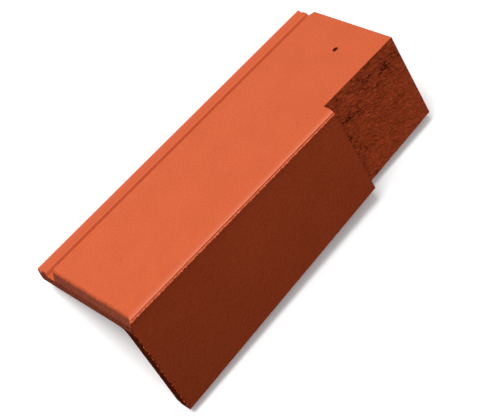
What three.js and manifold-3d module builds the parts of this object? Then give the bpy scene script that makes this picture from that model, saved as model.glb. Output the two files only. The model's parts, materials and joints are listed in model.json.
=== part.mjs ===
// A right-hand verge tile for a flat interlocking concrete tile roof.
// It is one casting: a flat plate with a side lock on its left edge and, on its right edge, a deep skirt that
// covers the verge. Near the head the skirt is set in, so that the skirt of the tile above can pass over it.
// The tile is drawn as it lies on a roof: +X across to the verge, +Y up the slope, +Z out of the roof, with
// the top of the plate at Z = 0. At the end it is laid down on a floor, on three of its lower corners.
// All sizes are in millimetres.

import * as THREE from 'three';
import { mergeVertices } from 'three/addons/utils/BufferGeometryUtils.js';
import Module from 'manifold-3d';

const wasm = await Module();
wasm.setup();

// Plate
const LENGTH = 420;
const WIDTH = 175;
const THICKNESS = 22;

// Side lock, from the left edge of the tile to the left edge of the plate
const LOCK_WIDTH = 29.3;
const LOCK_DROP = 7.3;
const OUTER_RIB_WIDTH = 1.6;
const OUTER_RIB_FALL = 4.1;
const CHANNEL_DEPTH = 2.9;
const CHANNEL_WIDTH = 0.4;
const INNER_RIB_RISE = 2.3;
const INNER_RIB_WIDTH = 6.4;
const INNER_RIB_CREST = 0.6;
const INNER_RIB_FALL = 2.4;
const LOCK_DEPTH = 11.5;
const LOCK_WALL_LEAN = 3;
const PLATE_EDGE_CUT = 0.9;
const CORNER_CUT_ACROSS = 4;
const CORNER_CUT_ALONG = 10;

// Skirt below the right edge
const SKIRT_THICKNESS = 20;
const SKIRT_DEPTH_FOOT = 145.5;
const SKIRT_DEPTH_NOTCH = 120;
const SKIRT_LENGTH = 310.5;
const SKIRT_CHAMFER = 5;
const SKIRT_FILLET = 9;
const RIDGE_LEAD_WIDTH = 1;
const RIDGE_LEAD_DROP = 0.25;
const RIDGE_BEVEL_WIDTH = 2.8;
const RIDGE_BEVEL_DROP = 2.1;
const RIDGE_EDGE_WIDTH = 0.6;
const RIDGE_EDGE_DROP = 1.45;
const LIP_PROUD = 0.8;
const LIP_HEIGHT = 1.9;
const LIP_CREASE = 0.4;

// Neck, the part of the skirt that is set in towards the head
const NECK_SET_IN = 14.5;
const NECK_THICKNESS = 20;
const NECK_DEPTH_NOTCH = 121.7;
const NECK_DEPTH_HEAD = 113.3;
const NECK_CHAMFER = 5;

// Foot end of the plate, with a rounded top edge above a steep bevel
const FOOT_SET_BACK = 6.2;
const FOOT_ROUNDING = 2.4;
const FOOT_BEVEL_DROP = 10;
const FOOT_BATTER = 1.2;

// Underside
const LEFT_CHAMFER = 2.5;
const FIELD_THICKNESS = 14;
const FIELD_FROM_LEFT = 32;
const FIELD_FROM_FOOT = 30;
const FIELD_FROM_HEAD = 62;
const FIELD_FROM_SKIRT = 12;
const NIB_WIDTH = 30;
const NIB_LENGTH = 16;
const NIB_DEPTH = 13;
const NIB_SLOPE = 5;
const NIB_FROM_HEAD = 14;
const NIB_FROM_LEFT = 46;
const NIB_SPACING = 52;

// Nail hole, longer up the slope than it is wide
const NAIL_WIDTH = 5.6;
const NAIL_LENGTH = 6.8;
const NAIL_FROM_LEFT = 107;
const NAIL_FROM_HEAD = 38;

// How far a cutting shape runs past the surface that it cuts, and how many steps a curve takes
const PAST = 4;
const CURVE_STEPS = 6;

const faceX = WIDTH - LIP_PROUD;
const innerX = faceX - SKIRT_THICKNESS;
const neckX = WIDTH - NECK_SET_IN;
const neckInnerX = neckX - NECK_THICKNESS;
const neckStart = SKIRT_LENGTH - NECK_THICKNESS;
const crank = innerX - neckInnerX;

function toManifold(geometry) {
  const bare = geometry.clone();
  bare.deleteAttribute('normal');
  bare.deleteAttribute('uv');
  const merged = mergeVertices(bare, 1e-4);
  return new wasm.Manifold(new wasm.Mesh({
    numProp: 3,
    vertProperties: new Float32Array(merged.attributes.position.array),
    triVerts: new Uint32Array(merged.index.array),
  }));
}

function toGeometry(manifold) {
  const mesh = manifold.getMesh();
  const geometry = new THREE.BufferGeometry();
  geometry.setAttribute('position', new THREE.BufferAttribute(new Float32Array(mesh.vertProperties), 3));
  geometry.setIndex(new THREE.BufferAttribute(new Uint32Array(mesh.triVerts), 1));
  const faceted = geometry.toNonIndexed();
  faceted.computeVertexNormals();
  return faceted;
}

function extrude(shape, depth) {
  const options = { depth, steps: 1, bevelEnabled: false, curveSegments: CURVE_STEPS };
  return new THREE.ExtrudeGeometry(shape, options);
}

// A shape drawn in X and Z, run along Y
function runAlongY(shape, from, to) {
  return extrude(shape, to - from).rotateX(Math.PI / 2).translate(0, to, 0);
}

// A shape drawn in Y and Z, run along X
function runAlongX(shape, from, to) {
  const turn = new THREE.Matrix4().makeBasis(
    new THREE.Vector3(0, 1, 0), new THREE.Vector3(0, 0, 1), new THREE.Vector3(1, 0, 0));
  return extrude(shape, to - from).applyMatrix4(turn).translate(from, 0, 0);
}

// A shape drawn in X and Y, run along Z
function runAlongZ(shape, from, to) {
  return extrude(shape, to - from).translate(0, 0, from);
}

function polygon(points) {
  return new THREE.Shape(points.map(([a, b]) => new THREE.Vector2(a, b)));
}

// The left part of every section: up the left edge and over the lock to the plate's top
function drawLock(shape) {
  const rib = -LOCK_DROP;
  const channel = rib - CHANNEL_DEPTH;
  let x = 0;
  shape.moveTo(LEFT_CHAMFER, -THICKNESS);
  shape.lineTo(0, -THICKNESS + LEFT_CHAMFER);
  shape.lineTo(0, rib);
  shape.lineTo(x += OUTER_RIB_WIDTH, rib);
  shape.lineTo(x += OUTER_RIB_FALL, channel);
  shape.lineTo(x += CHANNEL_WIDTH, channel);
  shape.lineTo(x += INNER_RIB_RISE, rib);
  shape.lineTo(x += INNER_RIB_WIDTH, rib);
  shape.quadraticCurveTo(x + INNER_RIB_CREST, rib, x + INNER_RIB_FALL, -LOCK_DEPTH);
  shape.lineTo(LOCK_WIDTH - LOCK_WALL_LEAN, -LOCK_DEPTH);
  shape.lineTo(LOCK_WIDTH, -PLATE_EDGE_CUT);
  shape.lineTo(LOCK_WIDTH + PLATE_EDGE_CUT, 0);
}

// Down the inner face of a skirt, with its lower inner corner cut off, and round the fillet to the underside
function drawInnerSide(shape, x, bottom, chamfer) {
  shape.lineTo(x + chamfer, bottom);
  shape.lineTo(x, bottom + chamfer);
  shape.lineTo(x, -THICKNESS - SKIRT_FILLET);
  shape.absarc(x - SKIRT_FILLET, -THICKNESS - SKIRT_FILLET, SKIRT_FILLET, 0, Math.PI / 2, false);
}

function skirtSection() {
  const shape = new THREE.Shape();
  const ridgeBottom = -RIDGE_LEAD_DROP - RIDGE_BEVEL_DROP - RIDGE_EDGE_DROP;
  const lipTop = ridgeBottom - LIP_CREASE;
  const leadEnd = faceX - RIDGE_EDGE_WIDTH - RIDGE_BEVEL_WIDTH;
  drawLock(shape);
  shape.lineTo(leadEnd - RIDGE_LEAD_WIDTH, 0);
  shape.lineTo(leadEnd, -RIDGE_LEAD_DROP);
  shape.lineTo(faceX - RIDGE_EDGE_WIDTH, ridgeBottom + RIDGE_EDGE_DROP);
  shape.lineTo(faceX, ridgeBottom);
  shape.lineTo(faceX - LIP_CREASE, lipTop);
  shape.lineTo(WIDTH, lipTop - LIP_CREASE);
  shape.lineTo(WIDTH, lipTop - LIP_HEIGHT + LIP_CREASE);
  shape.lineTo(faceX, lipTop - LIP_HEIGHT);
  shape.lineTo(faceX, -SKIRT_DEPTH_FOOT);
  drawInnerSide(shape, innerX, -SKIRT_DEPTH_FOOT, SKIRT_CHAMFER);
  return shape;
}

function neckSection() {
  const shape = new THREE.Shape();
  drawLock(shape);
  shape.lineTo(neckX, 0);
  shape.lineTo(neckX, -NECK_DEPTH_NOTCH);
  drawInnerSide(shape, neckInnerX, -NECK_DEPTH_NOTCH, NECK_CHAMFER);
  return shape;
}

// Raises the lower edge of a skirt evenly from one depth to another along its length
function taperBottom(geometry, fromY, fromDepth, toY, toDepth) {
  const halfway = -Math.min(fromDepth, toDepth) / 2;
  const position = geometry.attributes.position;
  for (let i = 0; i < position.count; i += 1) {
    if (position.getZ(i) < halfway) {
      const share = (position.getY(i) - fromY) / (toY - fromY);
      position.setZ(i, position.getZ(i) + share * (fromDepth - toDepth));
    }
  }
  return geometry;
}

function skirtHalf() {
  const geometry = runAlongY(skirtSection(), 0, SKIRT_LENGTH);
  return toManifold(taperBottom(geometry, 0, SKIRT_DEPTH_FOOT, SKIRT_LENGTH, SKIRT_DEPTH_NOTCH));
}

function neckHalf() {
  const geometry = runAlongY(neckSection(), neckStart, LENGTH);
  const solid = toManifold(taperBottom(geometry, SKIRT_LENGTH, NECK_DEPTH_NOTCH, LENGTH, NECK_DEPTH_HEAD));
  const slant = polygon([
    [neckInnerX - PAST, neckStart - PAST],
    [innerX + PAST, neckStart - PAST],
    [neckInnerX - PAST, neckStart + crank + PAST],
  ]);
  const reach = SKIRT_DEPTH_FOOT + PAST;
  return solid.subtract(toManifold(runAlongZ(slant, -reach, -THICKNESS)));
}

// What the foot end loses in front of its rounded top edge, its bevel and its battered face
function footCut() {
  const shape = new THREE.Shape();
  const lean = (FOOT_SET_BACK - FOOT_BATTER) / FOOT_BEVEL_DROP;
  shape.moveTo(-PAST, PAST);
  shape.lineTo(-PAST, -THICKNESS);
  shape.lineTo(0, -THICKNESS);
  shape.lineTo(FOOT_BATTER, -FOOT_BEVEL_DROP);
  shape.lineTo(FOOT_SET_BACK - lean * FOOT_ROUNDING, -FOOT_ROUNDING);
  shape.quadraticCurveTo(FOOT_SET_BACK, 0, FOOT_SET_BACK + FOOT_ROUNDING, 0);
  shape.lineTo(FOOT_SET_BACK + FOOT_ROUNDING, PAST);
  return toManifold(runAlongX(shape, -PAST, WIDTH + PAST));
}

// The slanting cut across a left corner of the plate, down to the floor of the lock
function cornerCut(endY, inward) {
  const slope = CORNER_CUT_ALONG / CORNER_CUT_ACROSS;
  const base = LOCK_WIDTH - LOCK_WALL_LEAN;
  const start = base - LOCK_WALL_LEAN;
  const points = [
    [LOCK_WIDTH + CORNER_CUT_ACROSS + PAST / slope, endY - inward * PAST],
    [base, endY + inward * (CORNER_CUT_ALONG + LOCK_WALL_LEAN * slope)],
    [start, endY + inward * (CORNER_CUT_ALONG + LOCK_WALL_LEAN * slope)],
    [start, endY - inward * PAST],
  ];
  return toManifold(runAlongZ(polygon(points), -LOCK_DEPTH, PAST));
}

// The shallow sunk field of the underside, with sloping sides
function fieldCut() {
  const depth = THICKNESS - FIELD_THICKNESS;
  const left = FIELD_FROM_LEFT + depth;
  const right = neckInnerX - FIELD_FROM_SKIRT - depth;
  const foot = FIELD_FROM_FOOT + depth;
  const head = LENGTH - FIELD_FROM_HEAD - depth;
  const geometry = new THREE.ExtrudeGeometry(
    polygon([[left, foot], [right, foot], [right, head], [left, head]]),
    { depth: PAST, steps: 1, bevelEnabled: true, bevelThickness: depth, bevelSize: depth, bevelSegments: 1 });
  return toManifold(geometry.translate(0, 0, -THICKNESS - PAST));
}

// A nib that hooks over the batten, square on its lower side and sloping on its upper side
function nib(fromLeft) {
  const foot = LENGTH - NIB_FROM_HEAD - NIB_LENGTH;
  const head = LENGTH - NIB_FROM_HEAD;
  const bottom = -THICKNESS - NIB_DEPTH;
  const shape = polygon([
    [foot, -THICKNESS + PAST], [foot, bottom], [head - NIB_SLOPE, bottom], [head, -THICKNESS + PAST],
  ]);
  return toManifold(runAlongX(shape, fromLeft, fromLeft + NIB_WIDTH));
}

function nailHole() {
  const hole = new THREE.CylinderGeometry(NAIL_WIDTH / 2, NAIL_WIDTH / 2, THICKNESS + 2 * PAST, 24);
  hole.rotateX(Math.PI / 2);
  hole.scale(1, NAIL_LENGTH / NAIL_WIDTH, 1);
  hole.translate(NAIL_FROM_LEFT, LENGTH - NAIL_FROM_HEAD, -THICKNESS / 2);
  return toManifold(hole);
}

function tileGeometry() {
  let tile = skirtHalf().add(neckHalf());
  tile = tile.subtract(footCut());
  tile = tile.subtract(cornerCut(0, 1));
  tile = tile.subtract(cornerCut(LENGTH, -1));
  tile = tile.subtract(fieldCut());
  tile = tile.add(nib(NIB_FROM_LEFT));
  tile = tile.add(nib(NIB_FROM_LEFT + NIB_SPACING));
  tile = tile.subtract(nailHole());
  return toGeometry(tile);
}

function neckDepthAt(y) {
  const share = (y - SKIRT_LENGTH) / (LENGTH - SKIRT_LENGTH);
  return NECK_DEPTH_NOTCH + share * (NECK_DEPTH_HEAD - NECK_DEPTH_NOTCH);
}

// The turn that sets the tile on the floor on three corners: the lower left corner of the head end, the
// lower corner of the skirt at the foot, and the lower inner corner of the neck where it leaves the skirt
function restTurn() {
  const leftHead = new THREE.Vector3(LEFT_CHAMFER, LENGTH, -THICKNESS);
  const skirtFoot = new THREE.Vector3(innerX + SKIRT_CHAMFER, 0, -SKIRT_DEPTH_FOOT);
  const neckFoot = new THREE.Vector3(neckInnerX + NECK_CHAMFER, neckStart + crank - NECK_CHAMFER, 0);
  neckFoot.z = -neckDepthAt(neckFoot.y);
  const up = new THREE.Vector3().subVectors(neckFoot, leftHead)
    .cross(new THREE.Vector3().subVectors(skirtFoot, leftHead)).normalize();
  if (up.z < 0) {
    up.negate();
  }
  const along = new THREE.Vector3(0, 1, 0).projectOnPlane(up).normalize();
  const across = new THREE.Vector3().crossVectors(along, up);
  return new THREE.Matrix4().makeBasis(across, along, up).transpose();
}

const concrete = new THREE.MeshStandardMaterial({ color: 0xda6842, roughness: 0.75, metalness: 0 });
const tile = new THREE.Mesh(tileGeometry(), concrete);
tile.name = 'verge_tile';
tile.quaternion.setFromRotationMatrix(restTurn());
tile.updateMatrixWorld(true);

// The origin is on the floor under the middle of the lying tile
const box = new THREE.Box3().setFromObject(tile, true);
const middle = box.getCenter(new THREE.Vector3());
tile.position.set(-middle.x, -middle.y, -box.min.z);

const group = new THREE.Group();
group.add(tile);

export default group;
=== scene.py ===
import json
from collections import namedtuple

import bmesh
import bpy
import numpy as np
from mathutils import Matrix, Vector


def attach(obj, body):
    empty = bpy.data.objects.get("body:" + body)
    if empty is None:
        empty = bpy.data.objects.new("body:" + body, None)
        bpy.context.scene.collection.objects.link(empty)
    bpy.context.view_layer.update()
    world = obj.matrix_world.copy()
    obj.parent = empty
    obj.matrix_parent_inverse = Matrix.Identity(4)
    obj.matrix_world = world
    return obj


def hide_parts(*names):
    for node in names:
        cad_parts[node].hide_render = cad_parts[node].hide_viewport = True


bl_info = {
    "name": "Verge tile",
    "version": (1, 0, 0),
    "blender": (4, 5, 0),
    "location": "View3D > Sidebar > Verge tile",
    "description": "Dresses the CAD frame of a concrete verge tile with its relief and its coat",
    "category": "Add Mesh",
}

MM = 0.001

# Sizes of the CAD solid in the tile's own axes, in millimetres: X across, Y up the slope, Z out of the top
LENGTH = 420.0
WIDTH = 175.0
PLATE_THICKNESS = 22.0
LOCK_EDGE = 29.3
LIP_PROUD = 0.8
SKIRT_FACE = WIDTH - LIP_PROUD
SKIRT_THICKNESS = 20.0
SKIRT_INNER = SKIRT_FACE - SKIRT_THICKNESS
SKIRT_LENGTH = 310.5
SKIRT_DEPTH_FOOT = 145.5
SKIRT_DEPTH_NOTCH = 120.0
NECK_SET_IN = 14.5
NECK_FACE = WIDTH - NECK_SET_IN
NECK_DEPTH_NOTCH = 121.7
NECK_DEPTH_HEAD = 113.3
NIB_FOOT_FACE = 390.0

# The ridge falls in three flats from the plate's top to the lip
RIDGE_LEAD_WIDTH = 1.0
RIDGE_BEVEL_WIDTH = 2.8
RIDGE_EDGE_WIDTH = 0.6
RIDGE_DROP = 3.8
RIDGE_EDGE = SKIRT_FACE - RIDGE_EDGE_WIDTH
RIDGE_BEVEL = RIDGE_EDGE - RIDGE_BEVEL_WIDTH
RIDGE_START = RIDGE_BEVEL - RIDGE_LEAD_WIDTH
LIP_CREASE = 0.4
LIP_HEIGHT = 1.9
LIP_TOP = -RIDGE_DROP - LIP_CREASE
LIP_BOTTOM = LIP_TOP - LIP_HEIGHT

# The foot end: where its rounding meets the plate's top, and the raw part's upper limit
FOOT_TOP_EDGE = 8.6
FOOT_RAW_TOP = -11.0

# The skirt's front edge: the strip beside it that is cut finely, how far the bites reach from it, and the
# distance over which they die out
EDGE_STRIP = 3.0
CHIP_REACH = 2.6
CHIP_FADE = 1.6

# Where the neck is pitted most: a band below its top that rises a little, and a strip beside the notch
PIT_BAND_DROP = 28.0
PIT_BAND_WIDTH = 18.0
PIT_BAND_RISE = 0.08
PIT_STRIP_FROM_NOTCH = 14.0
PIT_STRIP_WIDTH = 10.0

# The bands of painted highlight on the lock, across the tile: the slope of the inner rib, and the outer edge
INNER_SLOPE_FROM = 13.2
INNER_SLOPE_TO = 18.5
OUTER_BAND_TO = 8.0

# Lengths of the waves in the coat and of the gaps among the beads of the lip
WAVE_LENGTH = 26.0
GAP_LENGTH = 6.0

# How far a face may lie from its nominal place and still be known
SLACK = 0.3

# The way in which the drag marks of the casting run on the neck, as a turn about X, in radians
DRAG_TURN = (0.27, 0.0, 0.0)

# Zones of the surface: the material of each, and the step in millimetres at which X, Y and Z are cut
ZONES = {
    "ridge": ("ridge", (1.5, 1.2, 0)),
    "skirt_edge": ("sanded", (0, 0.75, 0.8)),
    "skirt_foot": ("core", (1.0, 0, 1.0)),
    "notch": ("raw", (1.0, 0, 1.2)),
    "lip": ("lip", (0, 0.8, 0.45)),
    "foot": ("foot", (0.8, 0, 0.7)),
    "hidden": ("plain", (5.0, 5.0, 5.0)),
    "top": ("coat", (4.0, 4.0, 0)),
    "skirt": ("sanded", (0, 2.0, 2.0)),
    "lock": ("lock", (1.4, 2.6, 1.6)),
    "neck": ("raw", (0, 0.65, 0.65)),
}
ZONE_NAMES = list(ZONES)
MATERIALS = ("coat", "ridge", "lock", "lip", "sanded", "raw", "foot", "core", "plain")

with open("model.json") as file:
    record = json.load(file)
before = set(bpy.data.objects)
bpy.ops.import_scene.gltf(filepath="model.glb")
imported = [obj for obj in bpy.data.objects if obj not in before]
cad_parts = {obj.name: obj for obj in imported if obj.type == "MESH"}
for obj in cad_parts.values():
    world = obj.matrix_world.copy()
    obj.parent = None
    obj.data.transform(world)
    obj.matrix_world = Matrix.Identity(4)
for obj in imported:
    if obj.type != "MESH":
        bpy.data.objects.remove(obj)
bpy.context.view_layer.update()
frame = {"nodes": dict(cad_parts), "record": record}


def tile_matrix():
    """The matrix from the row frame, in metres, to the tile's own axes, in millimetres."""
    mounts = {m["name"]: m for m in frame["record"]["mounts"]}
    z_axis = Vector(mounts["plate_top"]["axis"]).normalized()
    x_axis = Vector(mounts["neck_outer_face"]["axis"]).normalized()
    y_axis = z_axis.cross(x_axis).normalized()
    x_axis = y_axis.cross(z_axis)
    on_neck = Vector(mounts["neck_outer_face"]["pos_m"])
    on_nib = Vector(mounts["nib_left"]["pos_m"])
    on_top = Vector(mounts["plate_top"]["pos_m"])
    shift = Vector((
        NECK_FACE - x_axis.dot(on_neck) / MM,
        NIB_FOOT_FACE - y_axis.dot(on_nib) / MM,
        -z_axis.dot(on_top) / MM,
    ))
    rows = Matrix((x_axis, y_axis, z_axis)).to_4x4()
    return Matrix.Translation(shift) @ rows @ Matrix.Scale(1 / MM, 4)


ROW_TO_TILE = tile_matrix()
TILE_TO_ROW = ROW_TO_TILE.inverted()


# Settings that a user would change

def millimetres(name, description, default, least=0.0):
    return bpy.props.FloatProperty(
        name=name, description=description + ", in millimetres", default=default, min=least)


def colour(name, description, default):
    return bpy.props.FloatVectorProperty(
        name=name, description=description, default=default, size=3, min=0, max=1, subtype="COLOR")


class VergeReliefSettings(bpy.types.PropertyGroup):
    """Sizes of the fine relief of the casting."""

    pit_depth: millimetres("Pit depth", "Deepest small pit of the raw concrete", 0.6)
    pit_size: millimetres("Pit size", "Distance between small pits", 3.2, 0.5)
    tear_depth: millimetres("Tear depth", "Depth of the drag marks of the raw concrete", 1.2)
    tear_size: millimetres("Tear size", "Width of a drag mark", 2.1, 0.5)
    grit_depth: millimetres("Grit depth", "Height of the sand grains on the skirt", 0.5)
    grit_size: millimetres("Grit size", "Distance between sand grains", 4.0, 0.5)
    lip_height: millimetres("Lip beads", "How far the beads of the lip stand out", 0.9)
    lip_spacing: millimetres("Lip spacing", "Distance between the beads of the lip", 2.6, 0.5)
    coat_wave: millimetres("Coat wave", "Unevenness of the coated top", 0.12)
    chip_depth: millimetres("Chip depth", "Deepest bite out of the skirt's front edge", 2.4)
    chip_size: millimetres("Chip size", "Distance between the bites", 4.0, 0.5)
    seed: bpy.props.IntProperty(
        name="Seed", description="Start value of every random pattern", default=3, min=0)


class VergeColourSettings(bpy.types.PropertyGroup):
    """The main colour of each finish."""

    coat: colour("Coat", "Coat of the top", (0.418, 0.0730, 0.0218))
    ridge: colour("Ridge", "Coat on the right ridge", (0.405, 0.070, 0.0210))
    lock: colour("Lock", "Coat on the side lock", (0.385, 0.063, 0.0165))
    # The lip's crumbs of coat are painted far paler than the coat of the top, as a painted highlight
    lip: colour("Lip", "Crumbs of coat on the lip below the ridge", (0.780, 0.170, 0.0700))
    # The skirt's sandy concrete, painted about half as bright as the coat, partly as painted shade on the
    # skirt's side
    sanded: colour("Skirt", "Sandy face of the skirt", (0.200, 0.0305, 0.0096))
    raw: colour("Neck", "Raw concrete of the neck", (0.358, 0.0550, 0.0174))
    foot: colour("Foot end", "Bare concrete of the foot end", (0.172, 0.040, 0.0215))
    # The skirt's bare front end, its concrete painted near black as shade
    core: colour("Skirt foot", "Front end of the skirt", (0.040, 0.0058, 0.0020))
    plain: colour("Underside", "Sides that are hidden in use", (0.220, 0.034, 0.0120))


class VergeStageSettings(bpy.types.PropertyGroup):
    """The floor, the light and the camera of the picture."""

    key_strength: bpy.props.FloatProperty(
        name="Key strength", description="Strength of the soft key light", default=3.7, min=0)
    key_angle: bpy.props.FloatProperty(
        name="Key softness", description="Width of the key light as seen from the tile", default=0.6,
        min=0, subtype="ANGLE", unit="ROTATION")
    key_direction: bpy.props.FloatVectorProperty(
        name="Key direction", description="The way from the tile towards the key light",
        default=(-0.5, -0.12, 0.86), size=3, subtype="DIRECTION")
    sky_strength: bpy.props.FloatProperty(
        name="Sky strength", description="Strength of the even light from all round", default=0.8, min=0)
    floor_size: bpy.props.FloatProperty(
        name="Floor size", description="Width of the floor", default=12.0, min=1, subtype="DISTANCE",
        unit="LENGTH")
    floor_colour: colour("Floor colour", "Colour of the floor", (0.76, 0.76, 0.76))


# Node helpers

def add_node(tree, kind, inputs=None, **attributes):
    """A new node, with constants set by socket identifier or index and sources linked."""
    node = tree.nodes.new(kind)
    for key, value in attributes.items():
        setattr(node, key, value)
    for key, value in (inputs or {}).items():
        socket = node.inputs[key]
        if isinstance(value, bpy.types.NodeSocket):
            tree.links.new(value, socket)
        else:
            socket.default_value = value
    return node


def maths(tree, operation, a, b, clamp=False):
    return add_node(tree, "ShaderNodeMath", {0: a, 1: b}, operation=operation, use_clamp=clamp).outputs[0]


def product(tree, value, *others):
    for other in others:
        value = maths(tree, "MULTIPLY", value, other)
    return value


def total(tree, value, *others):
    for other in others:
        value = maths(tree, "ADD", value, other)
    return value


def remaining(tree, value, share):
    """1 less the given share of the value."""
    return maths(tree, "SUBTRACT", 1.0, maths(tree, "MULTIPLY", value, share, clamp=True))


def per(tree, size):
    """The scale of a pattern that repeats at about the given size."""
    return maths(tree, "DIVIDE", 1.0, size)


def span(tree, value, low, high, to_low=0.0, to_high=1.0, smooth=True):
    """The value's way from low to high, as a way from to_low to to_high that ends there."""
    kind = "SMOOTHSTEP" if smooth else "LINEAR"
    inputs = {0: value, 1: low, 2: high, 3: to_low, 4: to_high}
    return add_node(tree, "ShaderNodeMapRange", inputs, interpolation_type=kind).outputs[0]


def stretched(tree, vector, scale, turn=(0.0, 0.0, 0.0)):
    """The vector turned and then scaled along its own axes."""
    turned = add_node(tree, "ShaderNodeVectorRotate", {"Vector": vector, "Rotation": turn},
                      rotation_type="EULER_XYZ").outputs[0]
    return add_node(tree, "ShaderNodeVectorMath", {0: turned, 1: scale}, operation="MULTIPLY").outputs[0]


def noise(tree, vector, scale, detail=2.0, roughness=0.5, distortion=0.0):
    return add_node(tree, "ShaderNodeTexNoise", {
        "Vector": vector, "Scale": scale, "Detail": detail, "Roughness": roughness, "Distortion": distortion,
    }).outputs[0]


def cells(tree, vector, scale, feature="F1"):
    inputs = {"Vector": vector, "Scale": scale}
    return add_node(tree, "ShaderNodeTexVoronoi", inputs, feature=feature).outputs[0]


def mixed(tree, factor, a, b, blend="MIX"):
    node = add_node(tree, "ShaderNodeMix", {0: factor, 6: a, 7: b}, data_type="RGBA", blend_type=blend)
    return node.outputs[2]


def darkened(tree, base, shade):
    """The colour times a grey of the given brightness."""
    grey = add_node(tree, "ShaderNodeCombineColor", {0: shade, 1: shade, 2: shade}).outputs[0]
    return mixed(tree, 1.0, base, grey, "MULTIPLY")


def coordinates(tree, place):
    """X, Y and Z of a place on the tile."""
    return add_node(tree, "ShaderNodeSeparateXYZ", {0: place}).outputs


# The mesh of the tile, cut from the CAD node at the step of each zone

def zone_of(normal, centre):
    """The zone of a face, known by the way it faces and the middle of it."""
    x, y, z = centre
    if normal.z > 0.995 and abs(z) < SLACK and x > LOCK_EDGE:
        return "top"
    on_skirt_length = 3 < y < SKIRT_LENGTH - 0.5
    if x > RIDGE_START - 0.2 and z > LIP_TOP + SLACK and on_skirt_length and normal.z > 0.02:
        return "ridge"
    if x > SKIRT_FACE - 0.6 and LIP_BOTTOM - 0.6 < z < LIP_TOP + SLACK and abs(normal.y) < 0.5:
        return "lip"
    if normal.x > 0.99 and x > SKIRT_FACE - SLACK:
        return "skirt_edge" if y < EDGE_STRIP else "skirt"
    if normal.x > 0.99 and abs(x - NECK_FACE) < SLACK:
        return "neck"
    if normal.y > 0.9 and abs(y - SKIRT_LENGTH) < 1 and x > NECK_FACE:
        return "notch"
    if normal.y < -0.02 and y < FOOT_TOP_EDGE + 0.1 and z > -PLATE_THICKNESS - 0.1:
        return "foot"
    if normal.y < -0.9 and y < 0.5:
        return "skirt_foot"
    faces_out = normal.z > 0.01 or normal.x > 0.5 or normal.x < -0.9
    if x < LOCK_EDGE + 1.5 and faces_out and z > -PLATE_THICKNESS + 3:
        return "lock"
    return "hidden"


def flat_mesh():
    """The CAD node in the tile's axes, with its flat faces joined."""
    bm = bmesh.new()
    bm.from_mesh(frame["nodes"]["verge_tile"].data)
    bm.transform(ROW_TO_TILE)
    bmesh.ops.remove_doubles(bm, verts=bm.verts, dist=0.004)
    bmesh.ops.dissolve_limit(
        bm, angle_limit=0.004, verts=bm.verts, edges=bm.edges, use_dissolve_boundaries=False)
    bm.normal_update()
    return bm


def cut_across(bm, faces, axis, at):
    """Cuts the faces by the plane at the given place on the axis, and gives what the cut made."""
    geometry = set(faces)
    for face in faces:
        geometry.update(face.edges)
        geometry.update(face.verts)
    normal = Vector((0, 0, 0))
    normal[axis] = 1
    cut = bmesh.ops.bisect_plane(
        bm, geom=list(geometry), dist=1e-4, plane_co=normal * at, plane_no=normal)
    return cut["geom"]


def cut_between(bm, layer, faces, axis, places):
    """Cuts the faces at the middle place, then each half of them at its own share of the places."""
    if not places or not faces:
        return
    middle = len(places) // 2
    at = places[middle]
    zone = faces[0][layer]
    low, high, crossing = [], [], []
    for face in faces:
        values = [v.co[axis] for v in face.verts]
        if max(values) < at + 1e-4:
            low.append(face)
        elif min(values) > at - 1e-4:
            high.append(face)
        else:
            crossing.append(face)
    if crossing:
        cut = cut_across(bm, crossing, axis, at)
        made = {f for f in cut if isinstance(f, bmesh.types.BMFace) and f[layer] == zone}
        for face in made.union(crossing):
            if face.is_valid:
                values = [v.co[axis] for v in face.verts]
                (low if min(values) + max(values) < 2 * at else high).append(face)
    cut_between(bm, layer, low, axis, places[:middle])
    cut_between(bm, layer, high, axis, places[middle + 1:])


def dice(bm):
    """Cuts each zone along its own steps, so that neighbouring zones keep sharing their edges."""
    layer = bm.faces.layers.int.new("zone")
    outer = [f for f in bm.faces if f.normal.x > 0.99 and f.calc_center_median().x > SKIRT_FACE - SLACK]
    cut_across(bm, outer, 1, EDGE_STRIP)
    for face in bm.faces:
        face[layer] = ZONE_NAMES.index(zone_of(face.normal, face.calc_center_median()))
    for index, name in enumerate(ZONE_NAMES):
        for axis, step in enumerate(ZONES[name][1]):
            faces = [f for f in bm.faces if f[layer] == index]
            if not step or not faces:
                continue
            values = [v.co[axis] for f in faces for v in f.verts]
            low, high = min(values), max(values)
            count = max(1, round((high - low) / step))
            cut_between(bm, layer, faces, axis, [low + (high - low) * k / count for k in range(1, count)])
    return layer


# Masks: how much of each kind of relief a place takes

def edge_distance(value, low, high, width):
    """0 at both limits, rising to 1 at the given distance inside them."""
    return np.clip(np.minimum(value - low, high - value) / width, 0, 1)


def neck_masks(y, z, on_face):
    """The neck's share of the drag marks, and how much it is pitted."""
    rise = (NECK_DEPTH_NOTCH - NECK_DEPTH_HEAD) / (LENGTH - SKIRT_LENGTH)
    bottom = -NECK_DEPTH_NOTCH + (y - SKIRT_LENGTH) * rise
    on_neck = on_face * edge_distance(y, SKIRT_LENGTH, LENGTH, 1.2) * edge_distance(z, bottom, 0, 1.5)
    band = np.exp(-((z + PIT_BAND_DROP - PIT_BAND_RISE * (y - SKIRT_LENGTH)) / PIT_BAND_WIDTH) ** 2)
    band += 0.6 * np.exp(-((y - SKIRT_LENGTH - PIT_STRIP_FROM_NOTCH) / PIT_STRIP_WIDTH) ** 2)
    below_top = 0.3 + 0.7 * np.clip(-z / 12, 0, 1)
    pitted = np.where(on_neck > 0, (0.30 + 0.80 * band) * below_top, 0.75)
    tears = on_neck * (0.40 + 0.30 * np.clip((z + 105) / 70, 0, 1) + 0.40 * band)
    return on_neck, pitted, tears


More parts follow.
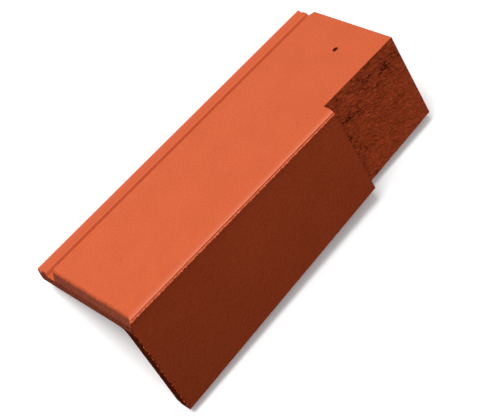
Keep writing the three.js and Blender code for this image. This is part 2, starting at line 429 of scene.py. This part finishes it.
def relief_masks(tile_co, zones_at):
    """The masks by name, from each point's place and the zones that meet there."""
    x, y, z = tile_co.T

    def inside(*names):
        bits = sum(1 << ZONE_NAMES.index(n) for n in names)
        return ((zones_at & ~bits) == 0).astype(float)

    on_neck, pitted, tears = neck_masks(y, z, inside("neck"))
    in_foot_band = edge_distance(x, 3, SKIRT_FACE, 2) * edge_distance(z, -PLATE_THICKNESS, FOOT_RAW_TOP, 1.2)
    in_skirt_foot = edge_distance(z, -145, -PLATE_THICKNESS, 2) * edge_distance(x, SKIRT_INNER, WIDTH, 2)
    rough = on_neck + inside("notch") * edge_distance(x, NECK_FACE, SKIRT_FACE, 2) * 0.5
    rough += inside("foot") * in_foot_band * 0.8
    rough += inside("skirt_foot") * in_skirt_foot

    near_face = np.clip((x - SKIRT_FACE + CHIP_REACH) / CHIP_FADE, 0, 1)
    near_front = np.clip((CHIP_REACH - y) / CHIP_FADE, 0, 1)
    chips = inside("skirt_edge", "skirt_foot", "lip", "foot") * near_face * near_front
    chips *= edge_distance(z, -SKIRT_DEPTH_FOOT, -9, 3)

    skirt_bottom = -SKIRT_DEPTH_FOOT + y * (SKIRT_DEPTH_FOOT - SKIRT_DEPTH_NOTCH) / SKIRT_LENGTH
    grit = inside("skirt", "skirt_edge") * edge_distance(y, 0, SKIRT_LENGTH, 2)
    grit *= edge_distance(z, skirt_bottom, LIP_BOTTOM, 2)

    lip = ((zones_at & (1 << ZONE_NAMES.index("lip"))) > 0).astype(float)
    lip *= edge_distance(y, 0.5, SKIRT_LENGTH, 3) * edge_distance(z, LIP_BOTTOM - 0.8, LIP_TOP + 0.4, 0.8)
    coat = inside("top", "lock") * edge_distance(y, 9, LENGTH, 8) * edge_distance(x, 0, 172, 4)
    return {"rough": rough, "pitted": pitted, "tears": tears, "grit": grit, "lip": lip, "coat": coat,
            "chips": chips}


def store_attributes(mesh, tile_co, zones_at):
    """Keeps the masks and the place on the tile, in millimetres, at every point of the mesh."""
    for name, values in relief_masks(tile_co, zones_at).items():
        attribute = mesh.attributes.new(name, "FLOAT", "POINT")
        attribute.data.foreach_set("value", np.ascontiguousarray(values, dtype=np.float32))
    place = mesh.attributes.new("tile_mm", "FLOAT_VECTOR", "POINT")
    place.data.foreach_set("vector", np.ascontiguousarray(tile_co.ravel(), dtype=np.float32))


def diced_mesh():
    """The tile's mesh before its relief, with a material for each zone and its attributes."""
    bm = flat_mesh()
    layer = dice(bm)
    wide = [f for f in bm.faces if len(f.verts) > 4]
    bmesh.ops.triangulate(bm, faces=wide, quad_method="BEAUTY", ngon_method="BEAUTY")
    bm.verts.index_update()
    tile_co = np.array([v.co[:] for v in bm.verts])
    zones_at = np.zeros(len(tile_co), dtype=np.int64)
    for face in bm.faces:
        zone = face[layer]
        face.material_index = MATERIALS.index(ZONES[ZONE_NAMES[zone]][0])
        face.smooth = True
        for vert in face.verts:
            zones_at[vert.index] |= 1 << zone
    for edge in bm.edges:
        if len(edge.link_faces) == 2:
            a, b = edge.link_faces
            edge.smooth = a.normal.dot(b.normal) > 0.88
    bm.transform(TILE_TO_ROW)
    mesh = bpy.data.meshes.new("verge_tile_dressed")
    bm.to_mesh(mesh)
    bm.free()
    store_attributes(mesh, tile_co, zones_at)
    return mesh


# The relief, as a geometry node tree: each kind has its own function, which gives a depth or a height

RELIEF_INPUTS = (
    ("Pit depth", "pit_depth"), ("Pit size", "pit_size"),
    ("Tear depth", "tear_depth"), ("Tear size", "tear_size"),
    ("Grit depth", "grit_depth"), ("Grit size", "grit_size"),
    ("Lip beads", "lip_height"), ("Lip spacing", "lip_spacing"),
    ("Coat wave", "coat_wave"),
    ("Chip depth", "chip_depth"), ("Chip size", "chip_size"),
)


def named(tree, name, kind="FLOAT"):
    return add_node(tree, "GeometryNodeInputNamedAttribute", {"Name": name}, data_type=kind).outputs[0]


def pit_depths(tree, place, drawn, given):
    """Small pits: the middles of cells drawn out along the drag marks, kept where a broad noise is high."""
    size = given["Pit size"]
    middles = span(tree, cells(tree, drawn, per(tree, size)), 0.40, 0.10)
    choice = noise(tree, place, per(tree, product(tree, size, 2.0)))
    level = maths(tree, "SUBTRACT", 0.62, product(tree, named(tree, "pitted"), 0.16))
    gate = maths(tree, "MULTIPLY", maths(tree, "SUBTRACT", choice, level), 14.0, clamp=True)
    return product(tree, middles, gate, given["Pit depth"], named(tree, "rough"))


def tear_depths(tree, place, drawn, given):
    """Drag marks: short narrow tears in clusters, made by noise stretched along one line."""
    size = given["Tear size"]
    along = stretched(tree, place, (1.0, 0.36, 1.0), DRAG_TURN)
    marks = span(tree, noise(tree, along, per(tree, size), 2.0, 0.55, 0.2), 0.40, 0.62)
    cluster = span(tree, noise(tree, drawn, per(tree, product(tree, size, 8.0))), 0.36, 0.62)
    cluster = total(tree, 0.35, product(tree, cluster, 0.65))
    return product(tree, marks, cluster, given["Tear depth"], named(tree, "tears"))


def grit_depths(tree, place, given):
    """Sand grains on the skirt."""
    grains = noise(tree, place, per(tree, given["Grit size"]), 2.0, 0.6)
    return product(tree, grains, given["Grit depth"], named(tree, "grit"))


def wave_depths(tree, place, given):
    """The slightly uneven coat, in long waves."""
    return product(tree, noise(tree, place, 1 / WAVE_LENGTH), given["Coat wave"], named(tree, "coat"))


def chip_depths(tree, place, given):
    """Bites out of the sharp edge round the outer face of the skirt's foot."""
    bite = span(tree, noise(tree, place, per(tree, given["Chip size"]), 3.0, 0.6), 0.42, 0.66)
    return product(tree, bite, given["Chip depth"], named(tree, "chips"))


def bead_heights(tree, place, given):
    """Small lumps along the lip, with gaps among them."""
    bead_place = stretched(tree, place, (0.25, 1.0, 0.5))
    bead = span(tree, cells(tree, bead_place, per(tree, given["Lip spacing"])), 0.75, 0.1)
    gaps = span(tree, noise(tree, place, 1 / GAP_LENGTH, 3.0), 0.36, 0.46)
    bead = total(tree, product(tree, bead, gaps), 0.1)
    return product(tree, bead, given["Lip beads"], named(tree, "lip"))


def relief_tree():
    """Moves every point along its normal by the pits, tears, grit, waves, chips and beads of its place."""
    tree = bpy.data.node_groups.new("Tile relief", "GeometryNodeTree")
    sockets = tree.interface
    sockets.new_socket("Geometry", in_out="INPUT", socket_type="NodeSocketGeometry")
    for label, _ in RELIEF_INPUTS:
        sockets.new_socket(label, in_out="INPUT", socket_type="NodeSocketFloat")
    sockets.new_socket("Seed", in_out="INPUT", socket_type="NodeSocketInt")
    sockets.new_socket("Material", in_out="INPUT", socket_type="NodeSocketMaterial")
    sockets.new_socket("Geometry", in_out="OUTPUT", socket_type="NodeSocketGeometry")
    given = {s.name: s for s in tree.nodes.new("NodeGroupInput").outputs if s.name}

    seed = given["Seed"]
    shift = add_node(tree, "ShaderNodeCombineXYZ", {
        0: product(tree, seed, 37.0), 1: product(tree, seed, 11.0), 2: product(tree, seed, 53.0)}).outputs[0]
    tile_mm = named(tree, "tile_mm", "FLOAT_VECTOR")
    place = add_node(tree, "ShaderNodeVectorMath", {0: tile_mm, 1: shift}, operation="ADD").outputs[0]
    drawn = stretched(tree, place, (1.0, 0.55, 1.0), DRAG_TURN)

    pits = pit_depths(tree, place, drawn, given)
    tears = tear_depths(tree, place, drawn, given)
    even = total(tree, grit_depths(tree, place, given), wave_depths(tree, place, given))
    inward = total(tree, total(tree, pits, tears), even, chip_depths(tree, place, given))
    outward = maths(tree, "SUBTRACT", bead_heights(tree, place, given), inward)
    normal = tree.nodes.new("GeometryNodeInputNormal").outputs[0]
    offset = add_node(tree, "ShaderNodeVectorMath", {0: normal, "Scale": product(tree, outward, MM)},
                      operation="SCALE").outputs[0]

    # Painted shade: the depths of pits and tears, kept as cavity, darken the colour of the raw, foot and
    # skirt-end materials
    cavity = total(tree, product(tree, pits, 0.6), product(tree, tears, 0.5))
    kept = add_node(tree, "GeometryNodeStoreNamedAttribute", {
        "Geometry": given["Geometry"], "Name": "cavity", "Value": cavity}, data_type="FLOAT", domain="POINT")
    moved = add_node(tree, "GeometryNodeSetPosition", {"Geometry": kept.outputs[0], "Offset": offset})
    real = add_node(tree, "GeometryNodeRealizeInstances", {"Geometry": moved.outputs[0]})
    index = tree.nodes.new("GeometryNodeInputMaterialIndex").outputs[0]
    is_plain = add_node(tree, "FunctionNodeCompare", {2: index, 3: MATERIALS.index("plain")},
                        data_type="INT", operation="EQUAL")
    painted = add_node(tree, "GeometryNodeSetMaterial", {
        "Geometry": real.outputs[0], "Selection": is_plain.outputs[0], "Material": given["Material"]})
    tree.links.new(painted.outputs[0], tree.nodes.new("NodeGroupOutput").inputs[0])
    return tree


def bake(obj, tree, values):
    """Runs the tree on the object and keeps the result as its mesh."""
    modifier = obj.modifiers.new("Relief", "NODES")
    modifier.node_group = tree
    for item in tree.interface.items_tree:
        if item.item_type == "SOCKET" and item.in_out == "INPUT" and item.name in values:
            modifier[item.identifier] = values[item.name]
    bpy.context.view_layer.update()
    evaluated = obj.evaluated_get(bpy.context.evaluated_depsgraph_get())
    mesh = bpy.data.meshes.new_from_object(evaluated)
    mesh.name = obj.name
    old = obj.data
    obj.modifiers.clear()
    obj.data = mesh
    bpy.data.meshes.remove(old)


# Shader groups

def value_group(name, inputs, outputs):
    """An empty shader group, the values that it is given and the sockets by which its own values leave."""
    tree = bpy.data.node_groups.new(name, "ShaderNodeTree")
    for label, kind, default in inputs:
        socket = tree.interface.new_socket(label, in_out="INPUT", socket_type=kind)
        if default is not None:
            socket.default_value = default
    for label, kind in outputs:
        tree.interface.new_socket(label, in_out="OUTPUT", socket_type=kind)
    return tree, tree.nodes.new("NodeGroupInput").outputs, tree.nodes.new("NodeGroupOutput").inputs


def sand_group():
    """Fine sand: a height and a speckle mask, both from the tile's own coordinates in millimetres."""
    tree, given, leaving = value_group(
        "Fine sand",
        (("Place", "NodeSocketVector", None), ("Grain size", "NodeSocketFloat", 0.9)),
        (("Height", "NodeSocketFloat"), ("Speckle", "NodeSocketFloat")))
    place = given["Place"]
    per_grain = per(tree, given["Grain size"])
    fine = noise(tree, place, per_grain, 2.0, 0.6)
    grains = cells(tree, place, product(tree, per_grain, 0.8))
    height = total(tree, product(tree, fine, 0.6), product(tree, grains, 0.4))
    tree.links.new(height, leaving["Height"])
    tree.links.new(span(tree, fine, 0.35, 0.65), leaving["Speckle"])
    return tree


def drag_group():
    """Short drag marks: a height in millimetres and a mask of painted shade in the crevices and hollows
    among them.
    """
    tree, given, leaving = value_group(
        "Drag marks",
        (("Place", "NodeSocketVector", None), ("Amount", "NodeSocketFloat", 1.0)),
        (("Height", "NodeSocketFloat"), ("Crevice", "NodeSocketFloat")))
    place = given["Place"]
    along = stretched(tree, place, (1.0, 0.5, 1.0), DRAG_TURN)
    wavelets = noise(tree, along, 0.36, 2.5, 0.6, 0.6)
    # Crevices: the edges of narrow cells, broken into short pieces that stand in clusters
    narrow = stretched(tree, place, (1.0, 0.38, 1.0), DRAG_TURN)
    edges = span(tree, cells(tree, narrow, 0.31, feature="DISTANCE_TO_EDGE"), 0.14, 0.06)
    broken = span(tree, noise(tree, narrow, 0.21), 0.50, 0.56)
    cluster = span(tree, noise(tree, place, 0.06), 0.38, 0.58)
    crevice = product(tree, edges, product(tree, broken, cluster))
    crevice = maths(tree, "MULTIPLY", crevice, given["Amount"], clamp=True)
    height = maths(tree, "SUBTRACT", product(tree, wavelets, 9.5), product(tree, crevice, 1.5))
    # Painted shade in the low parts of the wavelets
    hollow_shade = product(tree, span(tree, wavelets, 0.50, 0.36), 0.22)
    tree.links.new(height, leaving["Height"])
    tree.links.new(maths(tree, "MAXIMUM", crevice, hollow_shade), leaving["Crevice"])
    return tree


def tone_group():
    """Mixes two colours by a broad cloud and then darkens by the speckle."""
    tree, given, leaving = value_group(
        "Uneven tone",
        (("Place", "NodeSocketVector", None), ("Colour", "NodeSocketColor", None),
         ("Second colour", "NodeSocketColor", None), ("Cloud size", "NodeSocketFloat", 40.0),
         ("Speckle", "NodeSocketFloat", 0.0), ("Speckle depth", "NodeSocketFloat", 0.1)),
        (("Colour", "NodeSocketColor"),))
    cloud = noise(tree, given["Place"], per(tree, given["Cloud size"]), 4.0, 0.6)
    base = mixed(tree, span(tree, cloud, 0.35, 0.65), given["Colour"], given["Second colour"])
    shade = remaining(tree, given["Speckle"], given["Speckle depth"])
    tree.links.new(darkened(tree, base, shade), leaving["Colour"])
    return tree


# Tones that the photo shows across and down the tile, each mixed into its material's own colour
# Painted highlight on the ridge: the bevel, the steep edge and its lower part are painted paler than the
# coat, as a sheen
BEVEL_PAINTED_HIGHLIGHT = (0.455, 0.103, 0.048, 1)
RIDGE_EDGE_PAINTED_HIGHLIGHT = (0.610, 0.150, 0.073, 1)
RIDGE_LOW_PAINTED_HIGHLIGHT = (0.450, 0.086, 0.035, 1)
# Painted shade in the lip's crease, also used for the dark nicks among the crumbs
LIP_CREASE_SHADE_AND_NICKS = (0.170, 0.028, 0.010, 1)
# Painted highlight on the lock's inner slope and outer edge
LOCK_PAINTED_HIGHLIGHT = (0.415, 0.078, 0.0290, 1)
FOOT_LOW_TONE = (0.128, 0.0265, 0.0125, 1)
COAT_ON_FOOT = (0.370, 0.066, 0.0240, 1)
COAT_ON_CORE = (0.360, 0.056, 0.0200, 1)


def ridge_painted_highlight(tree, place, base):
    """Painted highlight: paler and paler down the bevel, with a bright edge above the lip."""
    x, _, z = coordinates(tree, place)
    pale = mixed(tree, span(tree, x, RIDGE_BEVEL, RIDGE_EDGE, smooth=False), base, BEVEL_PAINTED_HIGHLIGHT)
    pale = mixed(tree, span(tree, z, -RIDGE_DROP + 1.7, -RIDGE_DROP + 1.4), pale, RIDGE_EDGE_PAINTED_HIGHLIGHT)
    return mixed(tree, span(tree, z, -RIDGE_DROP + 0.8, -RIDGE_DROP + 0.3), pale, RIDGE_LOW_PAINTED_HIGHLIGHT)


def lip_tone(tree, place, base):
    """Painted shade in the crease above the crumbs, and dark nicks among them."""
    x, _, z = coordinates(tree, place)
    high = span(tree, z, LIP_TOP - 0.7, LIP_TOP - 0.4)
    low = span(tree, z, LIP_TOP - 0.6, LIP_TOP - 1.1)
    crease = product(tree, span(tree, x, SKIRT_FACE + 0.6, SKIRT_FACE + 0.2), high)
    nick = product(tree, span(tree, noise(tree, place, 0.16, 3.0, 0.6), 0.36, 0.31), low)
    return mixed(tree, maths(tree, "MAXIMUM", crease, nick), base, LIP_CREASE_SHADE_AND_NICKS)


def lock_painted_highlight(tree, place, base):
    """Painted highlight: a paler slope on the inner rib and a paler outer edge."""
    x = coordinates(tree, place)[0]
    after_start = span(tree, x, INNER_SLOPE_FROM, INNER_SLOPE_FROM + 1.4)
    before_end = span(tree, x, INNER_SLOPE_TO, INNER_SLOPE_TO - 1.0)
    slope = product(tree, after_start, before_end)
    outer = span(tree, x, OUTER_BAND_TO, OUTER_BAND_TO - 2.0)
    return mixed(tree, maths(tree, "MAXIMUM", slope, outer), base, LOCK_PAINTED_HIGHLIGHT)


def coat_painted_shade(tree, place, base):
    """A little darker towards the head: painted shade."""
    y = coordinates(tree, place)[1]
    return darkened(tree, base, span(tree, y, 60.0, LENGTH, 1.0, 0.95, smooth=False))


def sanded_painted_shade(tree, place, base):
    """Painted shade: darker downwards and towards the foot."""
    _, y, z = coordinates(tree, place)
    down = span(tree, z, -140.0, -10.0, 0.93, 1.06, smooth=False)
    return darkened(tree, base, product(tree, down, span(tree, y, 0.0, 200.0, 0.93, 1.02)))


def raw_painted_light(tree, place, base):
    """Paler beside the notch: painted light where the step shades the neck."""
    y = coordinates(tree, place)[1]
    return darkened(tree, base, span(tree, y, SKIRT_LENGTH, SKIRT_LENGTH + 50.0, 1.10, 1.0))


def foot_tone(tree, place, base):
    """A dark lower part with a wavering border, a darker bottom edge, and dark holes that are painted shade.
    """
    z = coordinates(tree, place)[2]
    low = total(tree, z, product(tree, noise(tree, place, 0.3, 3.0, 0.6), 3.0))
    base = mixed(tree, span(tree, low, -9.6, -7.6), FOOT_LOW_TONE, base)
    # Painted shade of small holes in the lower band
    hole_shade = product(tree, span(tree, noise(tree, place, 0.33), 0.57, 0.64), span(tree, z, -8.0, -12.0))
    bottom = span(tree, low, -PLATE_THICKNESS + 1.0, -PLATE_THICKNESS + 4.5, 0.6, 1.0)
    return darkened(tree, base, product(tree, bottom, remaining(tree, hole_shade, 0.7)))


TONES = {"ridge": ridge_painted_highlight, "lip": lip_tone, "lock": lock_painted_highlight, "coat": coat_painted_shade, "sanded": sanded_painted_shade,
         "raw": raw_painted_light, "foot": foot_tone}


def coat_strip(tree, place):
    """How far crumbs of coat cover the right corner of the foot, from 0 to 1."""
    x = coordinates(tree, place)[0]
    crumbs = noise(tree, place, 0.30, 2.0, 0.6)
    return span(tree, total(tree, x, product(tree, crumbs, 14.0)), WIDTH + 4.6, WIDTH + 5.2)


def coat_over_foot(tree, place, base):
    """The coat of the top, rounded over the bare foot end with a ragged border."""
    z = coordinates(tree, place)[2]
    ragged = noise(tree, place, 0.36, 3.0, 0.65)
    wavering = product(tree, noise(tree, place, 0.07, 4.0, 0.65), 5.0)
    over = total(tree, z, total(tree, wavering, product(tree, ragged, 1.6)))
    rounded = span(tree, over, -0.2, 4.2)
    corner = product(tree, coat_strip(tree, place), span(tree, z, -10.5, -6.0))
    return mixed(tree, maths(tree, "MAXIMUM", rounded, corner), base, COAT_ON_FOOT)


def coat_over_core(tree, place, base):
    return mixed(tree, coat_strip(tree, place), base, COAT_ON_CORE)


COVERS = {"foot": coat_over_foot, "core": coat_over_core}


# Materials

# The second colour is the first one times second_share. Sizes and bump heights are in millimetres.
Look = namedtuple("Look", "second_share cloud_size grain_size speckle_depth bump roughness specular")
LOOKS = {
    "coat": Look((0.9617, 0.9452, 0.9266), 40.0, 1.5, 0.22, 0.24, 0.50, 0.08),
    "ridge": Look((0.9877, 0.9857, 0.9524), 6.0, 0.9, 0.12, 0.10, 0.50, 0.15),
    "lock": Look((0.9610, 0.9524, 0.9394), 12.0, 0.9, 0.12, 0.10, 0.50, 0.10),
    "lip": Look((0.5385, 0.4235, 0.3857), 2.4, 0.8, 0.25, 0.15, 0.60, 0.00),
    "sanded": Look((0.9600, 0.9508, 0.9375), 50.0, 1.3, 0.20, 0.35, 0.80, 0.00),
    "raw": Look((0.9218, 0.9146, 0.9081), 14.0, 1.2, 0.30, 0.35, 0.85, 0.00),
    "foot": Look((0.8837, 0.8750, 0.8605), 7.0, 1.4, 0.35, 0.30, 0.85, 0.00),
    "core": Look((1.4500, 1.3793, 1.5000), 5.0, 1.0, 0.35, 0.25, 0.90, 0.00),
    "plain": Look((0.9091, 0.9118, 0.9167), 50.0, 1.2, 0.25, 0.15, 0.85, 0.05),
}
# Painted shade in hollows: how much of its brightness a place loses for each unit of its cavity value, and
# in a crevice
CAVITY_PAINTED_SHADES = {"raw": 0.30, "foot": 1.6, "core": 1.2}
CREVICE_PAINTED_SHADE = 0.75
# Bump height of the broad unevenness of the sanded face, in millimetres
SWELL_HEIGHT = 3.2


def point_value(tree, name, output="Fac"):
    return add_node(tree, "ShaderNodeAttribute", attribute_name=name).outputs[output]


def bumped(tree, height, distance_mm, normal=None):
    inputs = {"Strength": 1.0, "Distance": distance_mm * MM, "Height": height}
    if normal is not None:
        inputs["Normal"] = normal
    return add_node(tree, "ShaderNodeBump", inputs).outputs[0]


def tile_material(name, first, sand, tone, drag):
    """The material of one finish, from its first colour and the shared shader groups."""
    look = LOOKS[name]
    second = [channel * share for channel, share in zip(first, look.second_share)]
    material = bpy.data.materials.new("Tile " + name)
    material.use_nodes = True
    tree = material.node_tree
    tree.nodes.clear()
    place = point_value(tree, "tile_mm", "Vector")
    grains = add_node(tree, "ShaderNodeGroup", node_tree=sand)
    tree.links.new(place, grains.inputs["Place"])
    grains.inputs["Grain size"].default_value = look.grain_size
    clouds = add_node(tree, "ShaderNodeGroup", node_tree=tone)
    tree.links.new(place, clouds.inputs["Place"])
    clouds.inputs["Colour"].default_value = (*first, 1)
    clouds.inputs["Second colour"].default_value = (*second, 1)
    clouds.inputs["Cloud size"].default_value = look.cloud_size
    tree.links.new(grains.outputs["Speckle"], clouds.inputs["Speckle"])
    clouds.inputs["Speckle depth"].default_value = look.speckle_depth

    base = clouds.outputs[0]
    for finish in (TONES, COVERS):
        if name in finish:
            base = finish[name](tree, place, base)
    # Painted shade in the pits and tears, by their depth
    if name in CAVITY_PAINTED_SHADES:
        base = darkened(tree, base, remaining(tree, point_value(tree, "cavity"), CAVITY_PAINTED_SHADES[name]))
    normal = bumped(tree, grains.outputs["Height"], look.bump)
    if name == "sanded":
        normal = bumped(tree, noise(tree, place, 0.28), SWELL_HEIGHT, normal)
    if name == "raw":
        marks = add_node(tree, "ShaderNodeGroup", node_tree=drag)
        tree.links.new(place, marks.inputs["Place"])
        tree.links.new(point_value(tree, "pitted"), marks.inputs["Amount"])
        normal = bumped(tree, marks.outputs["Height"], 1.0, normal)
        # Painted shade in the crevices and hollows of the drag marks
        base = darkened(tree, base, remaining(tree, marks.outputs["Crevice"], CREVICE_PAINTED_SHADE))
    principled = add_node(tree, "ShaderNodeBsdfPrincipled", {
        "Base Color": base, "Roughness": look.roughness, "Specular IOR Level": look.specular,
        "Normal": normal})
    output = add_node(tree, "ShaderNodeOutputMaterial")
    tree.links.new(principled.outputs[0], output.inputs[0])
    return material


def floor_material(first):
    """A plain matt material of one colour."""
    material = bpy.data.materials.new("Pale floor")
    material.use_nodes = True
    shader = material.node_tree.nodes["Principled BSDF"]
    shader.inputs["Base Color"].default_value = (*first, 1)
    shader.inputs["Roughness"].default_value = 1.0
    shader.inputs["Specular IOR Level"].default_value = 0.0
    return material


# Operators

class VERGE_OT_tile(bpy.types.Operator):
    """Builds the dressed tile and lets it stand for the CAD node"""

    bl_idname = "verge.tile"
    bl_label = "Dress the tile"

    def execute(self, context):
        relief = context.scene.verge_relief
        colours = context.scene.verge_colours
        obj = bpy.data.objects.new("verge_tile_dressed", diced_mesh())
        context.scene.collection.objects.link(obj)
        groups = sand_group(), tone_group(), drag_group()
        materials = {name: tile_material(name, getattr(colours, name), *groups) for name in MATERIALS}
        for name in MATERIALS:
            obj.data.materials.append(materials[name])
        values = {label: getattr(relief, field) for label, field in RELIEF_INPUTS}
        values["Seed"] = relief.seed
        values["Material"] = materials["plain"]
        bake(obj, relief_tree(), values)
        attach(obj, "root")
        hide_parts("verge_tile")
        return {"FINISHED"}


# The camera was fitted to the photo's lines, in the tile's axes: focal length and picture width in pixels,
# then the turn from those axes to right, down and forward, and the shift that follows it
FOCAL_PX = 1710.77
PICTURE_PX = 500.0
CAMERA_TURN = (2.296, 0.758, -0.904)
CAMERA_SHIFT = (-229.672, 59.06, 1807.483)
SENSOR_WIDTH = 36.0


def camera_matrix():
    turn = Vector(CAMERA_TURN)
    rotation = Matrix.Rotation(turn.length, 3, turn.normalized())
    position = -(rotation.transposed() @ Vector(CAMERA_SHIFT))
    to_row = TILE_TO_ROW.to_3x3().normalized()
    right, up, back = (to_row @ v for v in (rotation[0], -rotation[1], -rotation[2]))
    matrix = Matrix((right, up, back)).transposed().to_4x4()
    matrix.translation = TILE_TO_ROW @ position
    return matrix


def add_floor(scene, stage):
    half = stage.floor_size / 2
    corners = [(-half, -half, 0), (half, -half, 0), (half, half, 0), (-half, half, 0)]
    mesh = bpy.data.meshes.new("floor")
    mesh.from_pydata(corners, [], [(0, 1, 2, 3)])
    mesh.materials.append(floor_material(stage.floor_colour))
    floor = bpy.data.objects.new("floor", mesh)
    scene.collection.objects.link(floor)


def add_lights(scene, stage):
    key_data = bpy.data.lights.new("key", "SUN")
    key_data.energy = stage.key_strength
    key_data.angle = stage.key_angle
    key = bpy.data.objects.new("key", key_data)
    key.rotation_mode = "QUATERNION"
    key.rotation_quaternion = Vector(stage.key_direction).normalized().to_track_quat("Z", "Y")
    scene.collection.objects.link(key)

    world = bpy.data.worlds.new("sky")
    world.use_nodes = True
    background = world.node_tree.nodes["Background"]
    background.inputs["Color"].default_value = (1, 1, 1, 1)
    background.inputs["Strength"].default_value = stage.sky_strength
    scene.world = world


def add_camera(scene):
    camera_data = bpy.data.cameras.new("photo camera")
    camera_data.sensor_width = SENSOR_WIDTH
    camera_data.lens = FOCAL_PX / PICTURE_PX * SENSOR_WIDTH
    camera_data.clip_start = 0.05
    camera_data.clip_end = 50.0
    camera = bpy.data.objects.new("photo camera", camera_data)
    camera.matrix_world = camera_matrix()
    scene.collection.objects.link(camera)
    scene.camera = camera


class VERGE_OT_stage(bpy.types.Operator):
    """Adds the floor, the soft light and the camera at the photo's angle"""

    bl_idname = "verge.stage"
    bl_label = "Set the stage"

    def execute(self, context):
        scene = context.scene
        add_floor(scene, scene.verge_stage)
        add_lights(scene, scene.verge_stage)
        add_camera(scene)
        scene.view_settings.view_transform = "Standard"
        return {"FINISHED"}


class VERGE_PT_panel(bpy.types.Panel):
    """Lists the settings and the two operators"""

    bl_label = "Verge tile"
    bl_idname = "VERGE_PT_panel"
    bl_space_type = "VIEW_3D"
    bl_region_type = "UI"
    bl_category = "Verge tile"

    def draw(self, context):
        scene = context.scene
        for group in (scene.verge_relief, scene.verge_colours):
            for field in type(group).__annotations__:
                self.layout.prop(group, field)
        self.layout.operator(VERGE_OT_tile.bl_idname)
        for field in VergeStageSettings.__annotations__:
            self.layout.prop(scene.verge_stage, field)
        self.layout.operator(VERGE_OT_stage.bl_idname)


CLASSES = (VergeReliefSettings, VergeColourSettings, VergeStageSettings, VERGE_OT_tile, VERGE_OT_stage,
           VERGE_PT_panel)


def register():
    for cls in CLASSES:
        bpy.utils.register_class(cls)
    bpy.types.Scene.verge_relief = bpy.props.PointerProperty(type=VergeReliefSettings)
    bpy.types.Scene.verge_colours = bpy.props.PointerProperty(type=VergeColourSettings)
    bpy.types.Scene.verge_stage = bpy.props.PointerProperty(type=VergeStageSettings)


def unregister():
    del bpy.types.Scene.verge_stage
    del bpy.types.Scene.verge_colours
    del bpy.types.Scene.verge_relief
    for cls in reversed(CLASSES):
        bpy.utils.unregister_class(cls)


def main():
    register()
    bpy.ops.verge.tile()
    bpy.ops.verge.stage()


if __name__ == "__main__":
    main()
